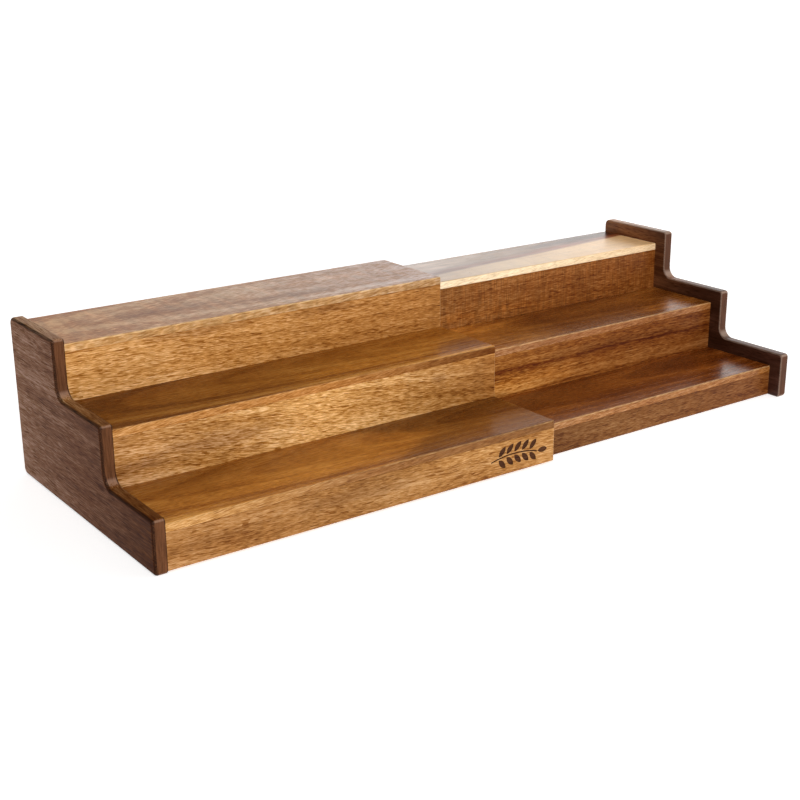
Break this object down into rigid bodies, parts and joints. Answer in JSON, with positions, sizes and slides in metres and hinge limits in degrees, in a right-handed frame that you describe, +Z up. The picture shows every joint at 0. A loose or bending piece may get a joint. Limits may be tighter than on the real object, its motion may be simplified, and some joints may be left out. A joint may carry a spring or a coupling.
{
  "type": "spice rack",
  "caption": "Stepped wooden shelf for jars, with end panels; one half slides inside the other to make it longer or shorter.",
  "frame": {"origin": "on the table, under the centre of the drawn-out rack's outline", "axes": "+X along the shelves from the outer half to the sliding half, -Y the low front, +Z up"},
  "size_m": [0.596, 0.22, 0.1205],
  "materials": {
    "dark_wood": "dark walnut-brown acacia, satin lacquer",
    "golden_wood": "golden acacia with dark pores, satin lacquer",
    "red_brown_wood": "reddish-brown acacia, satin lacquer",
    "dowel_wood": "plain beech, unfinished"
  },
  "bodies": {
    "outer_half": {"left_end_panel": "dark_wood", "outer_riser_bottom": "golden_wood", "outer_tread_bottom": "golden_wood", "outer_riser_middle": "golden_wood", "outer_tread_middle": "golden_wood", "outer_riser_top": "golden_wood", "outer_tread_top": "golden_wood", "left_panel_dowels": "dowel_wood"},
    "inner_half": {"right_end_panel": "dark_wood", "inner_riser_bottom": "red_brown_wood", "inner_tread_bottom": "red_brown_wood", "inner_riser_middle": "red_brown_wood", "inner_tread_middle": "red_brown_wood", "inner_riser_top": "red_brown_wood", "inner_tread_top": "red_brown_wood", "inner_support_rib": "red_brown_wood", "right_panel_dowels": "dowel_wood"}
  },
  "joints": [
    {"name": "length_slide", "type": "slide", "parent": "outer_half", "child": "inner_half", "axis": [1, 0, 0], "range_m": [-0.256, 0]}
  ]
}
